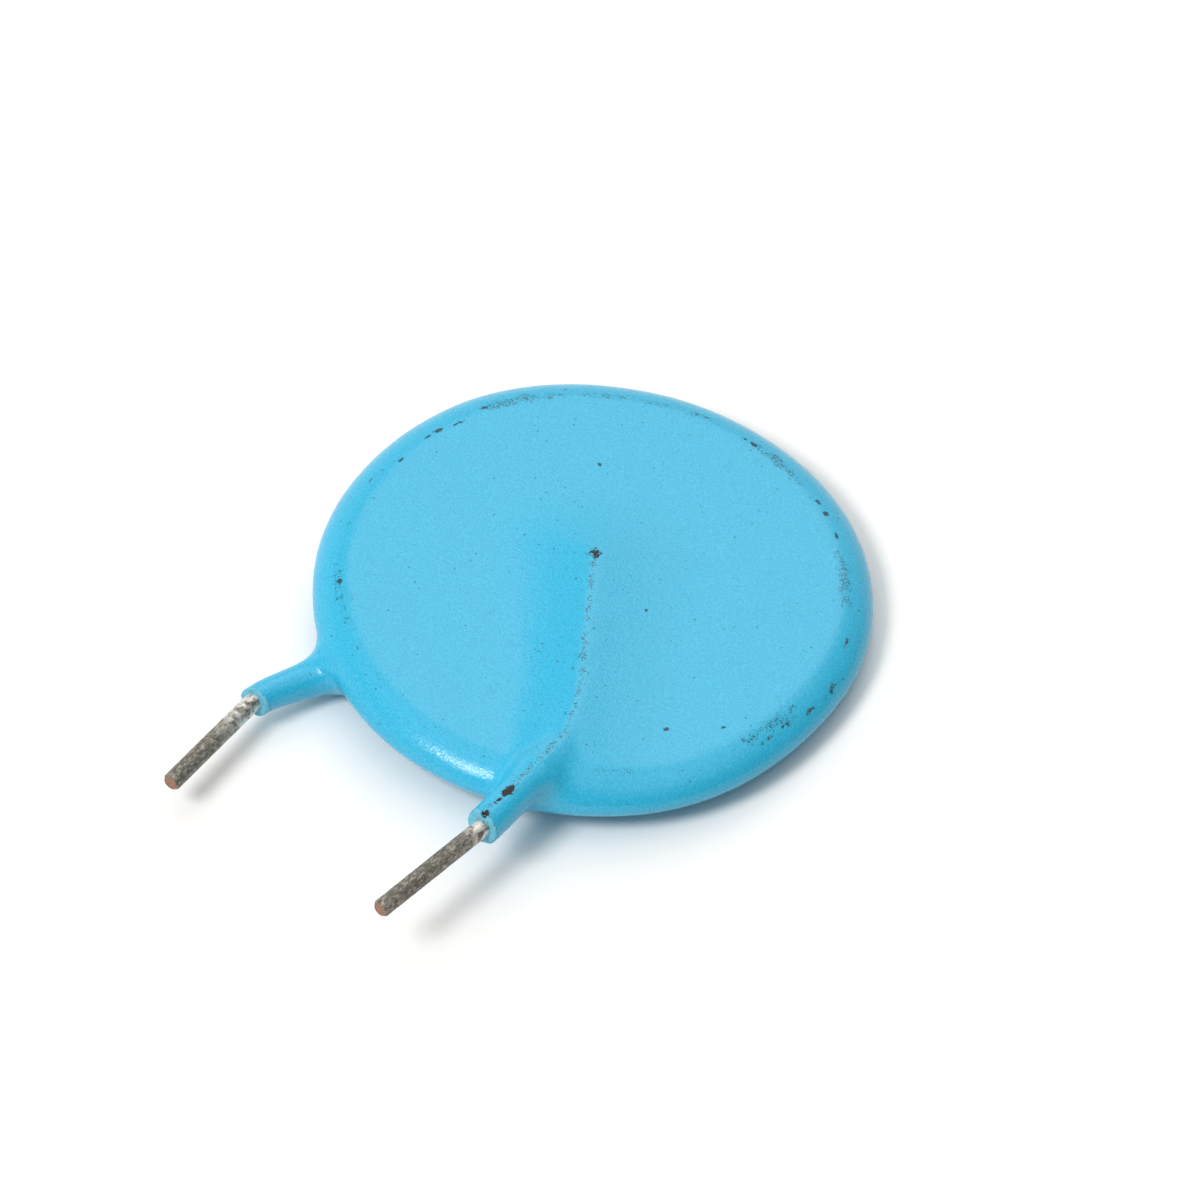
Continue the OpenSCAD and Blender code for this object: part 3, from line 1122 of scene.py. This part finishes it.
@dataclass
class HiddenCore:
    """The ceramic, electrodes and solder inside the coat, kept as the solids draw them."""

    finishes: tuple[tuple, ...] = (
        (ZINC_OXIDE, ("ceramic_disc",)),
        (SILVER, ("front_electrode", "rear_electrode")),
        (SOLDER, ("front_solder", "rear_solder")),
    )

    def dress(self) -> None:
        """Gives each hidden solid its finish."""
        for finish, nodes in self.finishes:
            material = finish.material()
            for node in nodes:
                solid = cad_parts[node]
                solid.data.materials.clear()
                solid.data.materials.append(material)
                LOG.info("dressed %s in %s", node, material.name)


@dataclass
class Studio:
    """White table top, soft key lamp, pale surroundings and the camera, in metres and degrees."""

    azimuth: float = 39.0
    elevation: float = 49.2
    distance: float = 2.40
    sensor_mm: float = 36.0
    width_mm: float = 75.2
    aim_mm: Triple = (0.0, 6.25, 2.5)
    right_mm: float = 0.595
    down_mm: float = 0.025
    clip: Pair = (0.01, 20.0)
    lamp_distance: float = 0.60
    shadow_right: float = 0.58
    shadow_away: float = 0.55
    key_size: float = 0.185
    key_watts: float = 1.78
    panel_size: float = 0.37
    panel_watts: float = 0.52
    panel_elevation: float = 45.0
    panel_right: float = 12.5
    world_tint: Colour = (1.0, 0.975, 0.945, 1.0)
    backdrop_level: float = 0.97
    front_level: float = 0.08
    top_level: float = 1.18
    top_fade: Pair = (0.57, 1.0)
    side_level: float = 0.75
    side_left: float = 0.9
    side_fade: Pair = (-0.45, 0.25)
    side_height: Pair = (0.75, 0.35)
    table_half: float = 1.5
    table_colour: Triple = (0.90, 0.90, 0.895)
    table_roughness: float = 0.9
    table_specular: float = 0.2
    floor_lift: float = 1.08

    def axes(self) -> tuple[Array, Array, Array, Array]:
        """Returns the camera's back, right, up and level away directions."""
        a, e = math.radians(self.azimuth), math.radians(self.elevation)
        back = np.array([math.sin(a) * math.cos(e), -math.cos(a) * math.cos(e), math.sin(e)])
        right = np.array([math.cos(a), math.sin(a), 0.0])
        away = np.array([-math.sin(a), math.cos(a), 0.0])
        return back, right, np.cross(back, right), away

    def camera(self) -> None:
        """Sets up the camera with a long lens."""
        back, right, up, _ = self.axes()
        target = (np.array(self.aim_mm) + self.right_mm * right - self.down_mm * up) * MM
        data = bpy.data.cameras.new("camera")
        data.sensor_width = self.sensor_mm
        data.lens = self.sensor_mm * self.distance / (self.width_mm * MM)
        data.clip_start, data.clip_end = self.clip
        camera = new_object("camera", data)
        camera.location = Vector(target + self.distance * back)
        camera.rotation_mode = "QUATERNION"
        camera.rotation_quaternion = (-Vector(back)).to_track_quat("-Z", "Y")
        bpy.context.scene.camera = camera

    def lamp(self, name: str, way: Array, size: float, watts: float) -> None:
        """Adds a round area lamp that faces the object.

        Args:
            name: Name of the lamp.
            way: Direction from the object to the lamp.
            size: Diameter of the lamp.
            watts: Power of the lamp.
        """
        data = bpy.data.lights.new(name, "AREA")
        data.shape = "DISK"
        data.size = size
        data.energy = watts
        lamp = new_object(name, data)
        way = Vector(unit(way))
        lamp.location = Vector(self.aim_mm) * MM + self.lamp_distance * way
        lamp.rotation_mode = "QUATERNION"
        lamp.rotation_quaternion = way.to_track_quat("Z", "Y")

    def lamps(self) -> None:
        """Adds the key lamp, away from which the shadows lead, and a panel behind the object."""
        _, right, _, away = self.axes()
        key = UP - self.shadow_right * right - self.shadow_away * away
        self.lamp("key", key, self.key_size, self.key_watts)
        turn, rise = math.radians(self.panel_right), math.radians(self.panel_elevation)
        level = math.cos(turn) * away + math.sin(turn) * right
        self.lamp("panel", math.cos(rise) * level + math.sin(rise) * UP, self.panel_size, self.panel_watts)

    def world(self) -> None:
        """Makes surroundings that are dim in front and to the right, and paler elsewhere."""
        world = bpy.data.worlds.new("studio")
        world.use_nodes = True
        bpy.context.scene.world = world
        graph = Graph(world.node_tree)
        _, right, _, away = self.axes()
        where = graph.out("ShaderNodeTexCoord", "Generated")
        height = graph.out("ShaderNodeSeparateXYZ", "Z", {0: where})
        pale_way = unit(away - self.side_left * right).tolist()
        facing = graph.out("ShaderNodeVectorMath", "Value", {0: where, 1: pale_way}, operation="DOT_PRODUCT")
        pale = graph.times(graph.ramp(facing, self.side_fade), graph.ramp(height, self.side_height))
        level = graph.plus(graph.times(pale, self.side_level), self.front_level)
        level = graph.plus(graph.times(graph.ramp(height, self.top_fade), self.top_level), level)
        seen = graph.out("ShaderNodeLightPath", "Is Camera Ray")
        levels = {0: seen, 2: level, 3: self.backdrop_level}
        graph.fill(world.node_tree.nodes["Background"], {
            "Strength": graph.out("ShaderNodeMix", 0, levels, data_type="FLOAT"), "Color": self.world_tint,
        })

    def table(self) -> Object:
        """Lays the white table top under the object."""
        half = self.table_half
        corners = np.array([[-half, -half, 0], [half, -half, 0], [half, half, 0], [-half, half, 0]], float)
        top = mesh_object("table_top", corners, [(0, 1, 2, 3)])
        material, graph, shader, _ = new_material("white_table")
        lifted = tuple(self.floor_lift * share for share in self.table_colour)
        seen = graph.math("MAXIMUM", *(
            graph.out("ShaderNodeLightPath", ray) for ray in ("Is Camera Ray", "Is Glossy Ray")
        ))
        graph.fill(shader, {
            "Base Color": graph.mix(seen, (*self.table_colour, 1.0), (*lifted, 1.0)),
            "Roughness": self.table_roughness, "Specular IOR Level": self.table_specular,
        })
        top.data.materials.append(material)
        return top

    def build(self) -> None:
        """Builds the whole studio."""
        self.camera()
        self.lamps()
        self.world()
        self.table()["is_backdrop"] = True
        bpy.context.scene.view_settings.view_transform = "Standard"


def record_size(key: str, sizes: dict[str, list[list[float]]]) -> None:
    """Adds the shown object's box in the row frame to the sizes, under a name."""
    low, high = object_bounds()
    sizes[key] = [list(low), list(high)]


def main() -> None:
    """Builds the dressed varistor and its studio."""
    logging.basicConfig(level=logging.INFO, format="%(name)s: %(message)s")
    sizes: dict[str, list[list[float]]] = {}
    record_size("cad", sizes)

    coat = EpoxyCoat().build(EpoxyFinish().material(Grime().group()))
    wire, cut = WireFinish(), CUT_COPPER.material()
    front = Lead("front_lead_wire", FRONT_RUN, seed=3, residue=0.0, fresh=2.2).build(wire, cut)
    rear = Lead("rear_lead_wire", REAR_RUN, seed=8, residue=1.0, fresh=5.0).build(wire, cut)
    for piece, node, slot in (
        (coat, "coating", "epoxy_coat"),
        (front, "front_lead", "tinned_copper"),
        (rear, "rear_lead", "tinned_copper"),
    ):
        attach(piece, "root")
        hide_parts(node)
        LOG.info("built %s with %d faces", piece.name, len(piece.data.polygons))
    HiddenCore().dress()
    Studio().build()

    record_size("dressed", sizes)


if __name__ == "__main__":
    main()
